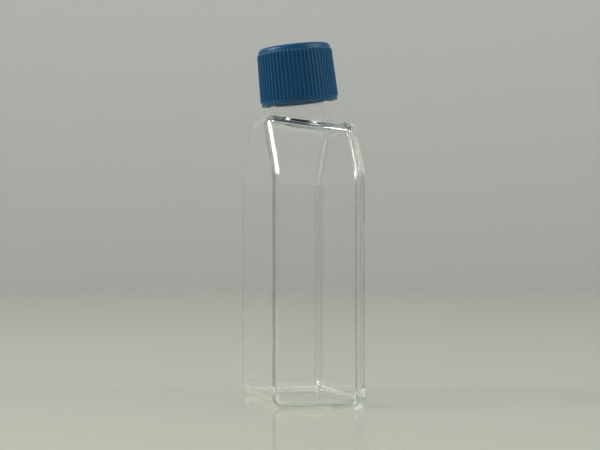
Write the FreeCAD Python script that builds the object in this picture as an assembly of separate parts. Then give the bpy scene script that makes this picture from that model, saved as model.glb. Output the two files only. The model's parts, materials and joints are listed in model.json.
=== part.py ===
import FreeCAD
import Part
import math
import os

from FreeCAD import Placement, Rotation, Vector

# A small rectangular cell culture flask with a canted neck and a plug-seal screw cap. Millimetres.
# It stands on its base end, cap up. Width runs along Y and depth along X: the growth plate faces +X
# and the roof faces -X. The origin is the middle of the base end, and the base end lies at Z = 0.

# Body
body_width = 42.6            # over the weld lips
body_depth = 22.9            # growth plate's outer face to the roof's outer face
straight_height = 58.5       # base end to where the shoulders start
end_face_height = 72.2       # base end to the end face, at mid depth
end_face_margin = 3.3        # end face beyond the neck on each side, before its corners are rounded
end_face_fall = 7.0          # degrees: the end face drops towards the growth plate
base_corner_radius = 4.0
shoulder_corner_radius = 7.0
end_corner_radius = 3.5
roof_edge_radius = 3.0
roof_edge_steps = 8          # steps in depth that the roof's rounded edge is lofted in
corner_over_roof_edge = 0.1  # every corner stays at least this much rounder than the roof's edge
body_wall = 1.3
wall_draft = 1.0             # degrees: side walls lean in towards the roof
smallest_inner_radius = 0.6

# Growth plate and the weld that holds it
plate_thickness = 1.2
lip_width = 0.7              # how far the lips stand out from the side walls
lip_thickness = 1.0          # the shell's share of the weld lip
lip_corner_radius = 3.0      # of the lips, at the base end
plate_edge_round = 0.25
locating_rib_height = 0.8    # ridge on the plate, just inside the shell's walls
locating_rib_width = 0.8
locating_rib_clearance = 0.1

# Neck
neck_cant = 6.3              # degrees: the neck leans towards the roof
neck_to_lip = 0.75           # foot of the neck to the weld lip
neck_outer_diameter = 16.0
neck_wall = 1.4
neck_exposed = 5.0           # end face to the cap's lower edge, along the axis
neck_root_round = 0.4
mouth_round = 0.35

# Cap
cap_height = 15.0
cap_wall = 1.22              # skirt between its ribs, at the lower edge
cap_draft = 1.9              # degrees: the skirt narrows towards the top
cap_top_thickness = 1.6
cap_top_round = 1.2
cap_skirt_round = 0.3
cap_bore_clearance = 0.7     # room for the screw thread between neck and skirt
mouth_clearance = 0.25       # neck's mouth to the inside of the cap's top
plug_depth = 4.6             # from the inside of the cap's top
plug_wall = 0.9
plug_clearance = 0.12        # plug to bore, at the plug's root
plug_taper = 2.5             # degrees
rib_count = 60
rib_height = 0.28
rib_width = 0.62             # at its foot
rib_crest_width = 0.22
rib_foot_margin = 0.9        # plain band at the lower edge
rib_top_margin = 1.5         # plain band below the top

# Finding edges to round
depth_tolerance = 1e-3       # an edge this near a plane lies in it
circle_tolerance = 1e-4      # height and radius of a circular edge
root_reach = 1.3             # the neck's foot lies within this many neck radii of its root
root_samples = 5             # points tried along each edge


def tan_deg(angle):
    return math.tan(math.radians(angle))


def cos_deg(angle):
    return math.cos(math.radians(angle))


roof_x = -body_depth / 2
plate_outer_x = body_depth / 2
rim_x = plate_outer_x - plate_thickness     # where shell and plate meet
lip_start_x = rim_x - lip_thickness
wall_run = lip_start_x - roof_x             # how far the drafted walls run
neck_radius = neck_outer_diameter / 2
neck_root_x = lip_start_x - neck_to_lip - neck_radius     # where its axis leaves the end face
bore_radius = neck_radius - neck_wall
neck_length = neck_exposed + cap_height - cap_top_thickness - mouth_clearance


def end_face_z(x):
    """Height of the end face at depth x."""
    return end_face_height - x * tan_deg(end_face_fall)


def rounded_wire(corners, x):
    """Closed wire in the plane at depth x: straight runs joined by tangent arcs.
    corners is a list of (y, z, radius)."""
    edges = []
    tangents = []
    count = len(corners)
    for index in range(count):
        y, z, radius = corners[index]
        here = Vector(x, y, z)
        before = Vector(x, *corners[index - 1][:2])
        after = Vector(x, *corners[(index + 1) % count][:2])
        way_in = (before - here).normalize()
        way_out = (after - here).normalize()
        half_angle = way_in.getAngle(way_out) / 2
        reach = radius / math.tan(half_angle)
        middle = (way_in + way_out).normalize() * (radius / math.sin(half_angle) - radius)
        tangents.append((here + way_in * reach, here + middle, here + way_out * reach))
    for index in range(count):
        start, mid, end = tangents[index]
        edges.append(Part.Arc(start, mid, end).toShape())
        edges.append(Part.LineSegment(end, tangents[(index + 1) % count][0]).toShape())
    return Part.Wire(edges)


def outline(x, inset, base_inset, end_inset, base_radius=None):
    """The flask's plan outline at depth x. The sides and shoulders lie inset inside the weld lip's
    outline, the base end base_inset above Z = 0, and the end face end_inset inside the outer one.
    Corners shrink with the inset, so that outlines stay parallel; base_radius sets the base's two."""
    grown = lip_width - inset
    # A smaller corner would shrink to nothing before the roof's rounded edge has drawn it in.
    least_radius = roof_edge_radius + wall_run * tan_deg(wall_draft) + corner_over_roof_edge
    half_width = body_width / 2
    half_end = neck_radius + end_face_margin
    run = Vector(0, half_end - half_width, end_face_height - straight_height).normalize()
    lean = run.y / run.z
    # The shoulder line moves inwards by inset, so it crosses each height further in by this much.
    sideways = inset / run.z
    top = end_face_z(x) - end_inset / cos_deg(end_face_fall)
    side_y = half_width - inset
    shoulder_z = straight_height + (side_y - half_width + sideways) / lean
    end_y = half_width - sideways + (top - straight_height) * lean
    radii = [
        max(max(radius, least_radius) + grown, smallest_inner_radius)
        for radius in (base_corner_radius, shoulder_corner_radius, end_corner_radius)
    ]
    if base_radius:
        radii[0] = base_radius
    right = [(side_y, base_inset, radii[0]), (side_y, shoulder_z, radii[1]), (end_y, top, radii[2])]
    left = [(-y, z, radius) for y, z, radius in reversed(right)]
    return rounded_wire(right + left, x)


def lip_outline(x):
    """The weld lip's outline: it stands out all round, except at the base end."""
    return outline(x, 0.0, 0.0, -lip_width, lip_corner_radius)


def prism(wire, depth):
    """Solid from a closed wire, pushed along X."""
    return Part.Face(wire).extrude(Vector(depth, 0, 0))


def edges_at_depth(solid, x):
    """The edges that lie in the plane at depth x."""
    return [
        edge for edge in solid.Edges
        if abs(edge.BoundBox.XMin - x) < depth_tolerance
        and abs(edge.BoundBox.XMax - x) < depth_tolerance
    ]


def tapered_box(near_x, far_x, inset, base_inset, end_inset, edge_radius):
    """Solid between two depths, drawn in by the draft towards the roof. The edge round its roof is
    a quarter circle, lofted through outlines that shrink by the circle's own offset."""
    def section(x, shrink):
        drawn_in = (near_x - x) * tan_deg(wall_draft)
        return outline(x, inset + drawn_in + shrink, base_inset + shrink, end_inset + shrink)

    edge_start_x = far_x + edge_radius
    rounded = []
    for step in range(roof_edge_steps + 1):
        angle = math.pi / 2 * step / roof_edge_steps
        depth = edge_start_x - edge_radius * math.sin(angle)
        rounded.append(section(depth, edge_radius * (1 - math.cos(angle))))
    walls = Part.makeLoft([section(near_x, 0.0), rounded[0]], True, True)
    return walls.fuse(Part.makeLoft(rounded, True, False)).removeSplitter()


def on_neck(shape):
    """Moves a shape drawn about the Z axis onto the canted neck, its origin where the neck's axis
    leaves the end face."""
    root = Vector(neck_root_x, 0, end_face_z(neck_root_x))
    canted = Placement(root, Rotation(Vector(0, 1, 0), -neck_cant))
    placed = shape.copy()
    placed.Placement = canted.multiply(placed.Placement)
    return placed


def ring(profile):
    """Solid of revolution about Z from (radius, height) points."""
    points = [Vector(radius, 0, height) for radius, height in profile]
    wire = Part.makePolygon(points + [points[0]])
    return Part.Face(wire).revolve(Vector(0, 0, 0), Vector(0, 0, 1), 360)


def circles_at(shape, height, radius):
    """Circular edges of a shape drawn about Z, at one height and of one radius."""
    return [
        edge for edge in shape.Edges
        if edge.Curve.TypeId == "Part::GeomCircle"
        and abs(edge.Curve.Center.z - height) < circle_tolerance
        and abs(edge.Curve.Radius - radius) < circle_tolerance
    ]


def make_neck_tube():
    """The neck's outer form, from inside the end wall to the mouth, with a rounded mouth."""
    depth_inside = neck_radius * tan_deg(neck_cant + end_face_fall) + body_wall
    tube = Part.makeCylinder(neck_radius, neck_length + depth_inside, Vector(0, 0, -depth_inside))
    return tube.makeFillet(mouth_round, circles_at(tube, neck_length, neck_radius))


def make_flask_body():
    """The moulded shell: roof, walls, shoulders, end wall and neck in one piece."""
    outer = tapered_box(lip_start_x, roof_x, lip_width, 0.0, 0.0, roof_edge_radius)
    lip = prism(lip_outline(lip_start_x), lip_thickness)
    cavity_inset = lip_width + body_wall
    inner_radius = max(roof_edge_radius - body_wall, smallest_inner_radius)
    cavity = tapered_box(rim_x, roof_x + body_wall, cavity_inset, body_wall, body_wall, inner_radius)
    shell = outer.fuse([lip, on_neck(make_neck_tube())]).removeSplitter()
    shell = shell.makeFillet(neck_root_round, root_edges(shell))
    shell = shell.cut(cavity)
    bore_depth = bore_radius * tan_deg(neck_cant + end_face_fall) + 2 * body_wall
    bore = Part.makeCylinder(bore_radius, neck_length + bore_depth, Vector(0, 0, -bore_depth))
    return shell.cut(on_neck(bore)).removeSplitter()


def root_edges(shell):
    """The edges round the foot of the neck, where its cylinder meets the end face."""
    root = Vector(neck_root_x, 0, end_face_z(neck_root_x))
    axis = on_neck(Part.makeLine(Vector(0, 0, -neck_length), Vector(0, 0, neck_length)))
    found = []
    for edge in shell.Edges:
        if edge.Curve.TypeId == "Part::GeomLine":
            continue
        points = edge.discretize(root_samples)
        near_root = all((point - root).Length < neck_radius * root_reach for point in points)
        off_axis = [axis.distToShape(Part.Vertex(point))[0] for point in points]
        on_tube = all(abs(distance - neck_radius) < depth_tolerance for distance in off_axis)
        if near_root and on_tube:
            found.append(edge)
    return found


def make_growth_plate():
    """The flat plate welded over the shell's open side, with its locating rib."""
    plate = prism(lip_outline(rim_x), plate_thickness)
    plate = plate.makeFillet(plate_edge_round, edges_at_depth(plate, plate_outer_x))
    rib_inset = lip_width + body_wall + locating_rib_clearance
    rib_base = body_wall + locating_rib_clearance
    inside = rib_inset + locating_rib_width
    inside_base = rib_base + locating_rib_width
    rib = prism(outline(rim_x, rib_inset, rib_base, rib_base), -locating_rib_height)
    hollow = prism(outline(rim_x, inside, inside_base, inside_base), -locating_rib_height)
    return plate.fuse(rib.cut(hollow)).removeSplitter()


def make_cap():
    """The one-piece cap: ribbed skirt, flat top and a hollow plug that enters the neck."""
    room_radius = neck_radius + cap_bore_clearance
    skirt_radius = room_radius + cap_wall
    top_radius = skirt_radius - cap_height * tan_deg(cap_draft)
    body = Part.makeCone(skirt_radius, top_radius, cap_height)
    body = body.makeFillet(cap_top_round, circles_at(body, cap_height, top_radius))
    body = body.makeFillet(cap_skirt_round, circles_at(body, 0, skirt_radius))
    body = body.fuse(make_ribs(skirt_radius))
    ceiling = cap_height - cap_top_thickness
    room = Part.makeCylinder(room_radius, ceiling)
    return on_cap(body.cut(room).fuse(make_plug(ceiling)).removeSplitter())


def make_ribs(skirt_radius):
    """Upright ribs round the skirt, each a ridge with a flat crest and sloping sides."""
    low = rib_foot_margin
    run = cap_height - rib_top_margin - low
    along = Vector(-run * tan_deg(cap_draft), 0, run)
    foot = skirt_radius - low * tan_deg(cap_draft)
    sunk = foot - rib_height
    crest = foot + rib_height
    half_foot = rib_width / 2
    half_crest = rib_crest_width / 2
    corners = [
        Vector(sunk, -half_foot, low),
        Vector(foot, -half_foot, low),
        Vector(crest, -half_crest, low),
        Vector(crest, half_crest, low),
        Vector(foot, half_foot, low),
        Vector(sunk, half_foot, low),
    ]
    rib = Part.Face(Part.makePolygon(corners + [corners[0]])).extrude(along)
    ribs = []
    for index in range(rib_count):
        turned = rib.copy()
        turned.rotate(Vector(0, 0, 0), Vector(0, 0, 1), 360 * index / rib_count)
        ribs.append(turned)
    return ribs


def make_plug(ceiling):
    """The hollow plug: a tapered ring that hangs from the inside of the cap's top."""
    root_radius = bore_radius - plug_clearance
    tip_radius = root_radius - plug_depth * tan_deg(plug_taper)
    tip = ceiling - plug_depth
    overlap = cap_top_thickness / 2
    return ring([
        (root_radius, ceiling + overlap),
        (root_radius, ceiling),
        (tip_radius, tip),
        (tip_radius - plug_wall, tip),
        (root_radius - plug_wall, ceiling),
        (root_radius - plug_wall, ceiling + overlap),
    ])


def on_cap(shape):
    """Moves a shape drawn about the Z axis onto the neck, its origin at the cap's lower edge."""
    raised = shape.copy()
    raised.translate(Vector(0, 0, neck_exposed))
    return on_neck(raised)


def export(shape, node):
    """Writes one node's solids."""
    if not shape.isValid():
        raise ValueError(node + " is not a valid shape")
    print(node, len(shape.Solids), "solid(s)", round(shape.Volume, 1), "mm3", shape.optimalBoundingBox())
    shape.exportStep("parts/" + node + ".step")


os.makedirs("parts", exist_ok=True)
export(make_flask_body(), "flask_body")
export(make_growth_plate(), "growth_plate")
export(make_cap(), "cap")
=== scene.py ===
import json
import math

import bpy
import numpy as np
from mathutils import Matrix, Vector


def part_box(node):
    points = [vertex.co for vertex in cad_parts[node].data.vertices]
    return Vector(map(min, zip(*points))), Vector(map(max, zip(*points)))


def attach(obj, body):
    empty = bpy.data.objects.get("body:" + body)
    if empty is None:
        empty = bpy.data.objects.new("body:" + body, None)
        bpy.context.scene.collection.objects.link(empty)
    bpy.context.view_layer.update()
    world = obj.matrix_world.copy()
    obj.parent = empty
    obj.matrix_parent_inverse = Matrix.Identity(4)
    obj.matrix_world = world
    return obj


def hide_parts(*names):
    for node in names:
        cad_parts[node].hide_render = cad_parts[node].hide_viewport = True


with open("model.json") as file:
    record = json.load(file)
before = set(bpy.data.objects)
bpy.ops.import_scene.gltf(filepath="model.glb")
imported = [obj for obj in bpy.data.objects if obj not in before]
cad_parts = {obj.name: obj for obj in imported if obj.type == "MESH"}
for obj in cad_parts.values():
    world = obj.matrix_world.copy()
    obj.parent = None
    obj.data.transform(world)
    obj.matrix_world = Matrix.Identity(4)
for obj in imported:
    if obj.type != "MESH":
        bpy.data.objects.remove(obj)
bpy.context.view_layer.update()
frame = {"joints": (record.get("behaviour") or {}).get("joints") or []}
mm = 0.001

# ---------------------------------------------------------------------------------------------
# Flask body. One injection moulding in clear crystal polystyrene: roof, side walls, shoulders,
# end wall and canted neck. Its open side is closed later by the growth plate, and its rim stands
# out as a narrow lip for the weld. A single-start thread is moulded on the neck.
# ---------------------------------------------------------------------------------------------
body_low, body_high = (np.array(corner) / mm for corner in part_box("flask_body"))
plate_low, plate_high = (np.array(corner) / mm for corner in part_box("growth_plate"))
neck_axis = np.array(frame["joints"][0]["axis"])

roof_x = body_low[0]                   # outside of the roof
rim_x = body_high[0]                   # where shell and growth plate meet
half_width = body_high[1]              # over the lips
lip_width = 0.7                        # how far the lips stand out from the walls
lip_thickness = 1.0                    # the shell's share of the lip
lip_corner_radius = 3.0                # at the base end
lip_edge_round = 0.12
lip_draft = 0.02                       # slope of the lip's back, root to edge
wall = 1.3
wall_draft = math.tan(math.radians(1.0))
roof_edge_radius = 3.0
straight_height = 58.5                 # base end to where the shoulders start
corner_radii = (4.0, 7.0, 3.5)         # base, shoulder and end corners
smallest_radius = 0.6
end_fall = math.radians(7.0)           # the end face drops towards the growth plate
end_height = plate_high[2] + rim_x * math.tan(end_fall) - lip_width / math.cos(end_fall)
neck_radius = 8.0
neck_wall = 1.4
neck_length = 18.15                    # end face to mouth, along the axis
neck_root_round = 0.4
mouth_round = 0.35
bore_round = 0.15
end_margin = 3.3                       # end face beyond the neck on each side
neck_to_lip = 0.75
lip_start_x = rim_x - lip_thickness

arc_steps = 12                         # facets in each of the outline's corners
roof_edge_steps = 12
hole_steps = 48                        # facets along each side of the patch that the neck leaves

half_end = neck_radius + end_margin
shoulder_angle = math.atan2(half_width - half_end, end_height - straight_height)
side_normals = np.radians([-90, 0, 0, 90, 180, 180, 270]) + np.array(
    [0, 0, shoulder_angle, 0, -shoulder_angle, 0, 0]
)


def outline(x, inset, base_inset, end_inset, base_radius=None, end_shares=()):
    """Rings round the flask, one for each depth in x. A ring is six corner arcs joined by straight
    sides. An arc is its centre plus its radius times the cosine and sine of an angle, which runs
    from the normal of the side before to the normal of the side after. end_shares are places along
    the end face, from 0 at its right corner to 1 at its left, that get a point too."""
    x, inset, base_inset, end_inset = np.broadcast_arrays(x, inset, base_inset, end_inset)
    lean = -math.tan(shoulder_angle)
    sideways = inset / math.cos(shoulder_angle)
    top = end_height - x * math.tan(end_fall) - end_inset / math.cos(end_fall)
    side_y = half_width - inset
    shoulder_z = straight_height + (sideways - inset) / lean
    end_y = half_width - sideways + (top - straight_height) * lean
    radii = [np.maximum(r + lip_width - inset, smallest_radius) for r in corner_radii]
    if base_radius is not None:
        radii[0] = np.broadcast_to(base_radius, x.shape)
    corner_y = np.stack([side_y, side_y, end_y, -end_y, -side_y, -side_y], axis=1)
    corner_z = np.stack([base_inset, shoulder_z, top, top, shoulder_z, base_inset], axis=1)
    radius = np.stack(radii + radii[::-1], axis=1)
    half_turn = np.diff(side_normals) / 2
    middle = side_normals[:-1] + half_turn
    centre_y = corner_y - radius / np.cos(half_turn) * np.cos(middle)
    centre_z = corner_z - radius / np.cos(half_turn) * np.sin(middle)
    angle = side_normals[:-1, None] + 2 * half_turn[:, None] * np.linspace(0, 1, arc_steps + 1)
    y = centre_y[..., None] + radius[..., None] * np.cos(angle)
    z = centre_z[..., None] + radius[..., None] * np.sin(angle)
    share = np.asarray(end_shares, float)
    face_y = y[:, 2, -1:] * (1 - share) + y[:, 3, :1] * share
    face_z = z[:, 2, -1:] * (1 - share) + z[:, 3, :1] * share
    rings = len(x)
    y = np.hstack([y[:, :3].reshape(rings, -1), face_y, y[:, 3:].reshape(rings, -1)])
    z = np.hstack([z[:, :3].reshape(rings, -1), face_z, z[:, 3:].reshape(rings, -1)])
    return np.stack([np.broadcast_to(x[:, None], y.shape), y, z], axis=2)


def grid_quads(index):
    """Quads between neighbouring rows and columns of a grid of vertex numbers. The last column
    joins the first."""
    after = np.roll(index, -1, axis=1)
    return np.stack([index[:-1], after[:-1], after[1:], index[1:]], axis=2)


def fan(pole, ring):
    """Triangles from one vertex to each edge of a closed ring, facing out of the first row."""
    return np.stack([np.full(len(ring), pole), np.roll(ring, -1), ring], axis=1)


def make_piece(name, points, faces, materials, slots=None, sharp_degrees=35):
    """A mesh object from points in millimetres and lists of faces. Points that no face uses are
    dropped. slots gives each list of faces its material."""
    used, flat = np.unique(np.concatenate([f.ravel() for f in faces]), return_inverse=True)
    mesh = bpy.data.meshes.new(name)
    corners, start = [], 0
    for f in faces:
        corners += flat[start:start + f.size].reshape(f.shape).tolist()
        start += f.size
    mesh.from_pydata((points[used] * mm).tolist(), [], corners)
    for material in materials:
        mesh.materials.append(material)
    if slots is not None:
        numbers = np.repeat(slots, [len(f) for f in faces])
        mesh.polygons.foreach_set("material_index", numbers.astype(np.int32))
    mesh.shade_smooth()
    mesh.set_sharp_from_angle(angle=math.radians(sharp_degrees))
    mesh.validate()
    piece = bpy.data.objects.new(name, mesh)
    bpy.context.scene.collection.objects.link(piece)
    # Large flat faces keep their own direction where they run into small rounded ones.
    even = piece.modifiers.new("even_normals", "WEIGHTED_NORMAL")
    even.keep_sharp = True
    return piece


def quarter(steps):
    """Sine and versine of angles from 0 to 90 degrees, for rounding an edge."""
    angle = np.linspace(0, math.pi / 2, steps + 1)
    return np.sin(angle), 1 - np.cos(angle)


def from_centre(steps):
    """Shares from 0 to 1 that lie at even angles seen from the middle of a square's side."""
    return (np.tan(np.linspace(-math.pi / 4, math.pi / 4, steps + 1)) + 1) / 2


def thread_height(turn, height, start, turns, pitch, foot, crest, depth):
    """How far a helical ridge stands out at an angle, in turns, and a height along the axis. The
    nearest winding's distance along the axis gives a flank between foot and crest width, and the
    ridge fades in and out over a tenth of a turn at its ends."""
    winding = np.round((height - start) / pitch - turn)
    along = turn + winding
    away = np.abs(height - start - pitch * along)
    flank = np.clip((foot / 2 - away) / (foot / 2 - crest / 2), 0, 1)
    ends = np.clip(np.minimum(along, turns - along) / 0.1, 0, 1)
    return depth * (flank ** 2 * (3 - 2 * flank)) * (ends ** 2 * (3 - 2 * ends))


def srgb(code):
    """Linear, opaque colour from an sRGB hex code."""
    parts = [int(code[i:i + 2], 16) / 255 for i in (1, 3, 5)]
    return [c / 12.92 if c <= 0.04045 else ((c + 0.055) / 1.055) ** 2.4 for c in parts] + [1.0]


def add_node(material, kind, inputs=None, **settings):
    """Adds a node. settings are its own properties, and inputs are values for its sockets or the
    sockets that feed them."""
    node = material.node_tree.nodes.new(kind)
    for key, value in settings.items():
        setattr(node, key, value)
    for key, value in (inputs or {}).items():
        if isinstance(value, bpy.types.NodeSocket):
            material.node_tree.links.new(value, node.inputs[key])
        else:
            node.inputs[key].default_value = value
    return node


def new_material(name):
    """An empty node material with its output."""
    material = bpy.data.materials.new(name)
    material.use_nodes = True
    material.node_tree.nodes.clear()
    return material, add_node(material, "ShaderNodeOutputMaterial")


def clear_polystyrene(name, roughness):
    """Crystal polystyrene, injection moulded against polished steel: water-clear and bright, with
    strong edges from its high index, and a faint slow ripple left by the melt's flow. The melt
    takes a little light on the way through, which shows only where a wall is seen along its
    length. Shadow rays pass with a little loss at each face, so that it casts the faint shadow
    that it really does."""
    material, output = new_material(name)
    place = add_node(material, "ShaderNodeTexCoord").outputs["Object"]
    ripple_length = 7.0 * mm
    ripple_height = 0.01 * mm
    ripple = add_node(material, "ShaderNodeTexNoise", {
        "Vector": place, "Scale": 1 / ripple_length, "Detail": 1.0, "Roughness": 0.4})
    bump = add_node(material, "ShaderNodeBump", {
        "Height": ripple.outputs["Fac"], "Strength": 1.0, "Distance": ripple_height})
    solid = add_node(material, "ShaderNodeBsdfPrincipled", {
        "Base Color": srgb("#FFFFFF"), "Roughness": roughness, "IOR": 1.59,
        "Transmission Weight": 1.0, "Normal": bump.outputs["Normal"]})
    shade = add_node(material, "ShaderNodeBsdfTransparent", {"Color": srgb("#F4F6F5")})
    path = add_node(material, "ShaderNodeLightPath")
    mixed = add_node(material, "ShaderNodeMixShader", {
        0: path.outputs["Is Shadow Ray"], 1: solid.outputs[0], 2: shade.outputs[0]})
    # Light that runs along inside the walls loses half of itself in about 700 mm.
    melt = add_node(material, "ShaderNodeVolumeAbsorption", {
        "Color": srgb("#C9D2D0"), "Density": 2.5})
    material.node_tree.links.new(mixed.outputs[0], output.inputs["Surface"])
    material.node_tree.links.new(melt.outputs[0], output.inputs["Volume"])
    return material


polished_roughness = 0.02
weld_roughness = 0.22                  # the fine frost that the weld leaves
moulded_polystyrene = clear_polystyrene("polystyrene_moulded", polished_roughness)
welded_polystyrene = clear_polystyrene("polystyrene_welded", weld_roughness)

# Outside, from the roof to the lip: (depth, inset of sides, of base end, of end face).
around, back_off = quarter(roof_edge_steps)
edge_x = roof_x + roof_edge_radius
depth_share = from_centre(hole_steps)
wall_x = edge_x + (lip_start_x - edge_x) * depth_share
roof_x_rings = edge_x - roof_edge_radius * around[::-1]
outer_x = np.concatenate([roof_x_rings[:-1], wall_x])
shrink = np.concatenate([roof_edge_radius * back_off[::-1][:-1], np.zeros(len(wall_x))])
drawn_in = (lip_start_x - outer_x) * wall_draft
end_shares = from_centre(hole_steps)[1:-1]
outer_rings = outline(
    outer_x, lip_width + drawn_in + shrink, shrink, shrink, end_shares=end_shares)

# The lip: its back edge and its front edge are slightly rounded.
lip_around, lip_back = quarter(steps=3)
lip_x = np.concatenate([lip_start_x + lip_draft + (lip_edge_round - lip_draft) * lip_back,
                        rim_x - lip_edge_round * (1 - lip_around)])
lip_in = lip_edge_round * np.concatenate([1 - lip_around, lip_back])
lip_base = np.where(lip_x > (lip_start_x + rim_x) / 2, lip_in, 0.0)
lip_rings = outline(
    lip_x, lip_in, lip_base, lip_in - lip_width, lip_corner_radius - lip_in, end_shares)

# Inside, from the rim to the roof.
inner_edge_radius = roof_edge_radius - wall
inner_edge_x = roof_x + wall + inner_edge_radius
inner_wall_x = rim_x + (inner_edge_x - rim_x) * depth_share
inner_x = np.concatenate([inner_wall_x, inner_edge_x - inner_edge_radius * around[1:]])
inner_shrink = np.concatenate([np.zeros(len(inner_wall_x)), inner_edge_radius * back_off[1:]])
inner_drawn = (rim_x - inner_x) * wall_draft
inner_rings = outline(
    inner_x, lip_width + wall + inner_drawn + inner_shrink, wall + inner_shrink,
    wall + inner_shrink, end_shares=end_shares)

shell_rings = np.concatenate([outer_rings, lip_rings, inner_rings])
ring_count, ring_points = shell_rings.shape[:2]
ring_index = np.arange(ring_count * ring_points).reshape(ring_count, ring_points)
middle_z = straight_height / 2
shell_poles = np.array([[roof_x, 0, middle_z], [roof_x + wall, 0, middle_z]])
right_column = 3 * (arc_steps + 1) - 1  # where the end face starts, after the third arc
left_column = right_column + hole_steps


def hole_edge(first_ring, last_ring):
    """Vertex numbers round the part of the end face that the neck takes, anticlockwise seen from
    the mouth, starting at the roof's side on the left. last_ring is the one nearer the rim."""
    step = 1 if last_ring > first_ring else -1
    forward = np.arange(first_ring, last_ring, step)
    back = np.arange(last_ring, first_ring, -step)
    return np.concatenate([
        ring_index[forward, left_column],
        ring_index[last_ring, right_column + 1:left_column + 1][::-1],
        ring_index[back, right_column],
        ring_index[first_ring, right_column:left_column],
    ])


outer_first = roof_edge_steps
outer_last = outer_first + hole_steps
inner_last = len(outer_rings) + len(lip_rings)
inner_first = inner_last + hole_steps
outer_hole = hole_edge(outer_first, outer_last)
inner_hole = hole_edge(inner_first, inner_last)

# The neck stands on the end face about its own axis. across and up_y are square to that axis.
neck_root_x = lip_start_x - neck_to_lip - neck_radius
neck_root = np.array([neck_root_x, 0, end_height - neck_root_x * math.tan(end_fall)])
across = np.array([neck_axis[2], 0, -neck_axis[0]])
up_y = np.array([0.0, 1.0, 0.0])
end_normal = np.array([math.sin(end_fall), 0, math.cos(end_fall)])
face_slope = (across @ end_normal) / (neck_axis @ end_normal)


def on_neck(angle, radius, height):
    """Points from angle, radius and height about the neck's axis, from where it leaves the end
    face."""
    radius, height, angle = np.broadcast_arrays(radius, height, angle)
    return (
        neck_root
        + (radius * np.cos(angle))[..., None] * across
        + (radius * np.sin(angle))[..., None] * up_y
        + height[..., None] * neck_axis
    )


edge_points = shell_rings.reshape(-1, 3)[outer_hole] - neck_root
neck_angle = np.unwrap(np.arctan2(edge_points @ up_y, edge_points @ across))

# Foot: a small round that touches the end face and the neck. In the section at each angle the
# face is a line at the angle tilt, and the round turns from that line up to the neck's wall.
tilt = np.arctan(-np.cos(neck_angle) * face_slope)
foot_centre_r = neck_radius + neck_root_round
foot_centre_h = foot_centre_r * np.tan(tilt) + neck_root_round / np.cos(tilt)
foot_rows = 7
foot_turn = np.linspace(1, 0, foot_rows)[:, None] * (math.pi / 2 + tilt) + math.pi
foot_r = foot_centre_r + neck_root_round * np.cos(foot_turn)
foot_h = foot_centre_h + neck_root_round * np.sin(foot_turn)

# Thread: about one and a half turns, right-handed, ending just below the mouth.
thread_pitch = 3.0
thread_turns = 1.6
thread_foot = 1.3
thread_crest = 0.35
thread_depth = 0.5
mouth_to_thread = 1.7
thread_top = neck_length - mouth_to_thread
thread_start = thread_top - thread_turns * thread_pitch
thread_row = 0.09                      # how far apart the rows that draw the thread lie
thread_margin = 0.1                    # plain neck kept above the thread in those rows
plain_row_shares = np.array([[0.3], [0.7]])  # two rows of plain neck between foot and thread
zone_low = thread_start - thread_foot
zone_high = thread_top + thread_foot / 2 + thread_margin
zone_h = np.linspace(zone_low, zone_high, round((zone_high - zone_low) / thread_row))[:, None]
zone_r = neck_radius + thread_height(
    neck_angle / (2 * math.pi), zone_h, thread_start, thread_turns, thread_pitch,
    thread_foot, thread_crest, thread_depth)
plain_h = foot_h[-1:] + (zone_low - foot_h[-1:]) * plain_row_shares

# Mouth: rounded outside, and a finer round into the bore, which runs down through the end wall.
mouth_around, mouth_back = quarter(steps=6)
bore_radius = neck_radius - neck_wall
inner_face_h = -wall / (neck_axis @ end_normal) + bore_radius * np.tan(tilt)
neck_rows = [
    (foot_r, foot_h),
    (np.full(plain_h.shape, neck_radius), plain_h),
    (zone_r, zone_h),
    (neck_radius - mouth_round * mouth_back[:, None],
     neck_length - mouth_round * (1 - mouth_around[:, None])),
    (bore_radius + bore_round * (1 - mouth_around[:, None]),
     neck_length - bore_round * mouth_back[:, None]),
    (np.full((1, 1), bore_radius), inner_face_h[None, :]),
]
neck_columns = len(neck_angle)
neck_grid = np.concatenate([
    on_neck(neck_angle, *np.broadcast_arrays(r, h, np.zeros(neck_columns))[:2])
    for r, h in neck_rows
])
neck_start = ring_count * ring_points
neck_index = neck_start + np.arange(neck_grid.shape[0] * neck_columns).reshape(-1, neck_columns)
neck_strip = np.concatenate([outer_hole[None], neck_index, inner_hole[None]])
pole_start = neck_start + neck_index.size

shell_quads = grid_quads(ring_index)
keep = np.ones(shell_quads.shape[:2], bool)
end_columns = slice(right_column, left_column)
keep[outer_first:outer_last, end_columns] = False
keep[inner_last:inner_first, end_columns] = False
weld_row = np.zeros(keep.shape, bool)
weld_row[inner_last - 1] = True

flask_body = make_piece(
    "flask_shell",
    np.concatenate([shell_rings.reshape(-1, 3), neck_grid.reshape(-1, 3), shell_poles]),
    [shell_quads[keep & ~weld_row], shell_quads[weld_row], grid_quads(neck_strip).reshape(-1, 4),
     fan(pole_start, ring_index[0]), fan(pole_start + 1, ring_index[-1][::-1])],
    [moulded_polystyrene, welded_polystyrene], slots=[0, 1, 0, 0, 0])
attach(flask_body, "flask")
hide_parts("flask_body")
# The shadow rays carry all the light that the clear walls let through to the table.
flask_body.visible_diffuse = False

# ---------------------------------------------------------------------------------------------
# Growth plate. A flat clear polystyrene moulding, surface-treated inside for cells to grow on,
# with a low rib that locates it inside the walls. It is welded to the rim by ultrasound, which
# leaves a fine frosted seam.
# ---------------------------------------------------------------------------------------------
plate_out_x = plate_high[0]
seam_gap = 0.02                        # air left beside the weld, which is what makes it show
plate_in_x = rim_x + seam_gap
rib_top_x = plate_low[0]
rib_clearance = 0.1
rib_width = 0.8
plate_edge_round = 0.25
rib_edge_round = 0.12

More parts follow.
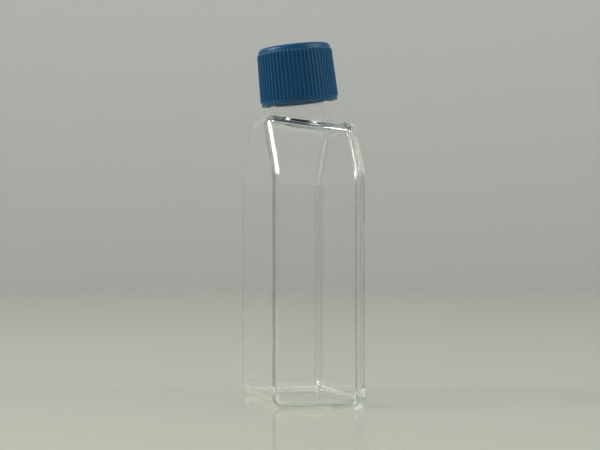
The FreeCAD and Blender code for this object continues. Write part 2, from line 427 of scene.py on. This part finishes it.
rib_inset = lip_width + wall + rib_clearance
rib_in = rib_edge_round * lip_back
rib_x = rib_top_x + rib_edge_round * (1 - lip_around)
edge_around, edge_back = quarter(steps=5)
plate_rows = np.concatenate([
    # depth, inset of sides, inset of base end, inset of end face, corner radius at the base end
    [[plate_in_x, rib_inset + rib_width, wall + rib_clearance + rib_width,
      wall + rib_clearance + rib_width]],
    np.stack([rib_x, rib_inset + rib_width - rib_in, wall + rib_clearance + rib_width - rib_in,
              wall + rib_clearance + rib_width - rib_in], axis=1),
    np.stack([rib_x, rib_inset + rib_in, wall + rib_clearance + rib_in,
              wall + rib_clearance + rib_in], axis=1)[::-1],
    [[plate_in_x, rib_inset, wall + rib_clearance, wall + rib_clearance]],
])
inner_plate_rings = outline(*plate_rows.T)
front_in = lip_edge_round * (1 - lip_around)
back_in = plate_edge_round * edge_back
edge_x_rows = np.concatenate([plate_in_x + lip_edge_round * lip_back,
                              plate_out_x - plate_edge_round * (1 - edge_around)])
edge_in = np.concatenate([front_in, back_in])
outer_plate_rings = outline(
    edge_x_rows, edge_in, edge_in, edge_in - lip_width, lip_corner_radius - edge_in)
plate_rings = np.concatenate([inner_plate_rings, outer_plate_rings])
plate_index = np.arange(plate_rings.shape[0] * plate_rings.shape[1]).reshape(plate_rings.shape[:2])
plate_poles = np.array([[plate_in_x, 0, middle_z], [plate_out_x, 0, middle_z]])
plate_quads = grid_quads(plate_index)
seam_row = len(inner_plate_rings) - 1
plate_body_quads = np.delete(plate_quads, seam_row, axis=0).reshape(-1, 4)

growth_plate = make_piece(
    "growth_plate_clear",
    np.concatenate([plate_rings.reshape(-1, 3), plate_poles]),
    [plate_body_quads, plate_quads[seam_row], fan(plate_index.size, plate_index[0]),
     fan(plate_index.size + 1, plate_index[-1][::-1])],
    [moulded_polystyrene, welded_polystyrene], slots=[0, 1, 0, 0])
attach(growth_plate, "flask")
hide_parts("growth_plate")
growth_plate.visible_diffuse = False

# ---------------------------------------------------------------------------------------------
# Cap. One injection moulding in blue polyethylene: a finely ribbed skirt that narrows towards a
# flat top, an inner thread, and a hollow plug that seals the bore. It screws onto the neck.
# ---------------------------------------------------------------------------------------------
cap_foot = 5.0                         # lower edge, above the end face along the neck's axis
cap_height = 15.0
cap_skirt = 1.22
thread_room = 0.7                      # neck's wall to skirt, where the thread lies
cap_room = neck_radius + thread_room
cap_draft = math.tan(math.radians(1.9))
cap_top_thickness = 1.6
cap_top_round = 1.2
cap_foot_round = 0.3
cap_lip_round = 0.15
plug_depth = 4.6
plug_wall = 0.9
plug_clearance = 0.12
plug_root = bore_radius - plug_clearance
plug_taper = math.tan(math.radians(2.5))
plug_round = 0.25
rib_count = 60
rib_height = 0.28
rib_foot = 0.62
rib_crest = 0.22
rib_above_foot = 0.9
rib_below_top = 1.5
rib_low = cap_foot + rib_above_foot
rib_high = cap_foot + cap_height - rib_below_top
rib_ramp = 0.4                         # how far a rib's end slopes
ramp_round = 0.75                      # share of its height that a rib has half way up that slope
cap_thread_row = 0.11

cap_top = cap_foot + cap_height
ceiling = cap_top - cap_top_thickness
skirt_r = cap_room + cap_skirt
top_r = skirt_r - cap_height * cap_draft

# A column lies on each side of every bend in a rib's section, which blunts its corners a little.
foot_bends = rib_foot * np.array([0.56, 0.44])
crest_bends = rib_crest * np.array([0.65, 0.3])
bends = np.concatenate([foot_bends, crest_bends]) / skirt_r
rib_middle = 2 * math.pi * np.arange(rib_count) / rib_count
cap_angle = (rib_middle[:, None] + np.concatenate([-bends, bends[::-1]])).ravel()
from_middle = np.abs((cap_angle + math.pi / rib_count) % (2 * math.pi / rib_count)
                     - math.pi / rib_count) * skirt_r
rib_profile = np.interp(from_middle, [rib_crest / 2, rib_foot / 2], [rib_height, 0])

top_around, top_back = quarter(steps=8)
foot_around, foot_back = quarter(steps=4)
small_around, small_back = quarter(steps=3)
ramps = np.array([rib_high, rib_high - rib_ramp * 0.5, rib_high - rib_ramp,
                  rib_low + rib_ramp, rib_low + rib_ramp * 0.5, rib_low])
ramp_share = np.array([0, ramp_round, 1, 1, ramp_round, 0])
cap_thread_start = thread_start - thread_pitch / 2
cap_zone_low = cap_thread_start - thread_foot
cap_zone_high = cap_thread_start + thread_turns * thread_pitch + thread_foot
cap_zone = np.linspace(
    cap_zone_low, cap_zone_high, round((cap_zone_high - cap_zone_low) / cap_thread_row))
plug_tip = ceiling - plug_depth
tip_r = plug_root - plug_depth * plug_taper

rows_r = np.concatenate([
    top_r - cap_top_round + cap_top_round * top_around,
    skirt_r - (ramps - cap_foot) * cap_draft,
    skirt_r - cap_foot_round * foot_back,
    cap_room + cap_lip_round * (1 - small_around),
    np.full(len(cap_zone), cap_room),
    [cap_room, plug_root],
    tip_r - plug_round * small_back,
    (tip_r - plug_wall) + plug_round * (1 - small_around),
    [plug_root - plug_wall],
])
rows_h = np.concatenate([
    cap_top - cap_top_round * top_back,
    ramps,
    cap_foot + cap_foot_round * (1 - foot_around),
    cap_foot + cap_lip_round * small_back,
    cap_zone,
    [ceiling, ceiling],
    plug_tip + plug_round * (1 - small_around),
    plug_tip + plug_round * small_back,
    [ceiling],
])
stand_out = np.zeros((len(rows_r), len(cap_angle)))
first_ramp = len(top_around)
stand_out[first_ramp:first_ramp + len(ramps)] = ramp_share[:, None] * rib_profile
first_zone = first_ramp + len(ramps) + len(foot_around) + len(small_around)
stand_out[first_zone:first_zone + len(cap_zone)] = -thread_height(
    -cap_angle / (2 * math.pi), cap_zone[:, None], cap_thread_start, thread_turns, thread_pitch,
    thread_foot, thread_crest, thread_depth)
cap_grid = on_neck(-cap_angle, rows_r[:, None] + stand_out, rows_h[:, None])
cap_index = np.arange(cap_grid.shape[0] * cap_grid.shape[1]).reshape(cap_grid.shape[:2])
cap_poles = on_neck(0.0, 0.0, np.array([cap_top, ceiling]))


def moulded_polyethylene():
    """Polyethylene, injection moulded and coloured through: a waxy half gloss over a deep blue,
    which a fine grain breaks up. The grain is drawn coarser than the real one, so that it shows."""
    material, output = new_material("polyethylene_blue")
    place = add_node(material, "ShaderNodeTexCoord").outputs["Object"]
    grain_width = 0.5 * mm
    grain_height = 0.03 * mm
    grain = add_node(material, "ShaderNodeTexNoise", {
        "Vector": place, "Scale": 1 / grain_width, "Detail": 3.0, "Roughness": 0.6})
    bump = add_node(material, "ShaderNodeBump", {
        "Height": grain.outputs["Fac"], "Strength": 0.5, "Distance": grain_height})
    shader = add_node(material, "ShaderNodeBsdfPrincipled", {
        "Base Color": srgb("#024A74"), "Roughness": 0.38, "IOR": 1.52, "Specular IOR Level": 0.3,
        "Normal": bump.outputs["Normal"]})
    material.node_tree.links.new(shader.outputs[0], output.inputs["Surface"])
    return material


blue_polyethylene = moulded_polyethylene()
cap = make_piece(
    "screw_cap",
    np.concatenate([cap_grid.reshape(-1, 3), cap_poles]),
    [grid_quads(cap_index).reshape(-1, 4), fan(cap_index.size, cap_index[0]),
     fan(cap_index.size + 1, cap_index[-1][::-1])],
    [blue_polyethylene], sharp_degrees=50)
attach(cap, "cap")
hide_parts("cap")

# ---------------------------------------------------------------------------------------------
# Table and wall. A round table top in pale glossy laminate, with a plain matt wall round it.
# ---------------------------------------------------------------------------------------------
wall_radius = 850.0
wall_height = 900.0
table_drop = 0.03                      # keeps the table's face clear of the flask's base end
stage_steps = 180


def add_stage(name, ring_heights, colour, roughness):
    """A backdrop of rings about the middle, of one radius and the given heights. A single ring is
    filled, and two are joined by a band that faces inwards."""
    turn = 2 * math.pi * np.arange(stage_steps) / stage_steps
    round_points = wall_radius * np.stack([np.cos(turn), np.sin(turn)], axis=1)
    rings = np.concatenate([
        np.column_stack([round_points, np.full(stage_steps, height)]) for height in ring_heights])
    index = np.arange(len(rings)).reshape(-1, stage_steps)
    faces = grid_quads(index[::-1]).reshape(-1, 4) if len(index) > 1 else index
    paint, paint_output = new_material(name + "_paint")
    shader = add_node(paint, "ShaderNodeBsdfPrincipled", {
        "Base Color": srgb(colour), "Roughness": roughness, "IOR": 1.5})
    paint.node_tree.links.new(shader.outputs[0], paint_output.inputs["Surface"])
    sheet = make_piece(name, rings, [faces], [paint])
    sheet.modifiers.clear()


add_stage("table", [-table_drop], "#BDBFAE", 0.06)
add_stage("wall", [0.0, wall_height], "#BDBEBC", 0.9)

# ---------------------------------------------------------------------------------------------
# Light: a dim even room and three soft lamps, at upper left, at upper right, and overhead, aimed
# at the foot of the wall behind the flask.
# ---------------------------------------------------------------------------------------------
world = bpy.data.worlds.new("room")
world.use_nodes = True
world.node_tree.nodes["Background"].inputs["Color"].default_value = srgb("#DDE0E2")
world.node_tree.nodes["Background"].inputs["Strength"].default_value = 0.42
bpy.context.scene.world = world


def add_lamp(name, place, aim, size, watts, mirrored=True):
    """A rectangular lamp at a place in millimetres, turned towards aim. The camera doesn't see the
    lamp itself, and where mirrored is off, glossy surfaces don't show it either."""
    light = bpy.data.lights.new(name, "AREA")
    light.shape = "RECTANGLE"
    light.size, light.size_y = (s * mm for s in size)
    light.energy = watts
    lamp = bpy.data.objects.new(name, light)
    bpy.context.scene.collection.objects.link(lamp)
    at = np.array(place, float) * mm
    lamp.location = at
    direction = Vector(np.array(aim, float) * mm - at)
    lamp.rotation_euler = direction.to_track_quat("-Z", "Y").to_euler()
    lamp.visible_camera = False
    lamp.visible_glossy = mirrored


flask_middle = [0, 0, 46]
add_lamp("lamp_left", (-560, 60, 470), flask_middle, (300, 300), 3.5)
add_lamp("lamp_right", (560, -330, 560), flask_middle, (600, 500), 3.5)
add_lamp("lamp_behind", (0, 250, 850), (0, 800, 100), (700, 200), 2.5, mirrored=False)

# ---------------------------------------------------------------------------------------------
# Camera: level with the flask's middle, a little round towards the roof from the narrow side.
# ---------------------------------------------------------------------------------------------
camera_azimuth = math.radians(-14.0)
camera_distance = 425.0
eye_height = 43.0
aim_height = 45.5
focal_length = 98.0
nearest_seen = 0.01                    # metres
camera_data = bpy.data.cameras.new("camera")
camera_data.lens = focal_length
camera_data.clip_start = nearest_seen
camera = bpy.data.objects.new("camera", camera_data)
bpy.context.scene.collection.objects.link(camera)
stand = np.array([math.sin(camera_azimuth), -math.cos(camera_azimuth), 0]) * camera_distance
stand[2] = eye_height
camera.location = stand * mm
view_line = np.array([0, 0, aim_height]) - stand
camera.rotation_euler = Vector(view_line).to_track_quat("-Z", "Y").to_euler()
bpy.context.scene.camera = camera

bpy.context.scene.view_settings.view_transform = "Standard"
# Light runs along a clear wall by many inner reflections before it leaves.
bounces = 64
for limit in ("max_bounces", "glossy_bounces", "transmission_bounces", "transparent_max_bounces"):
    setattr(bpy.context.scene.cycles, limit, bounces)
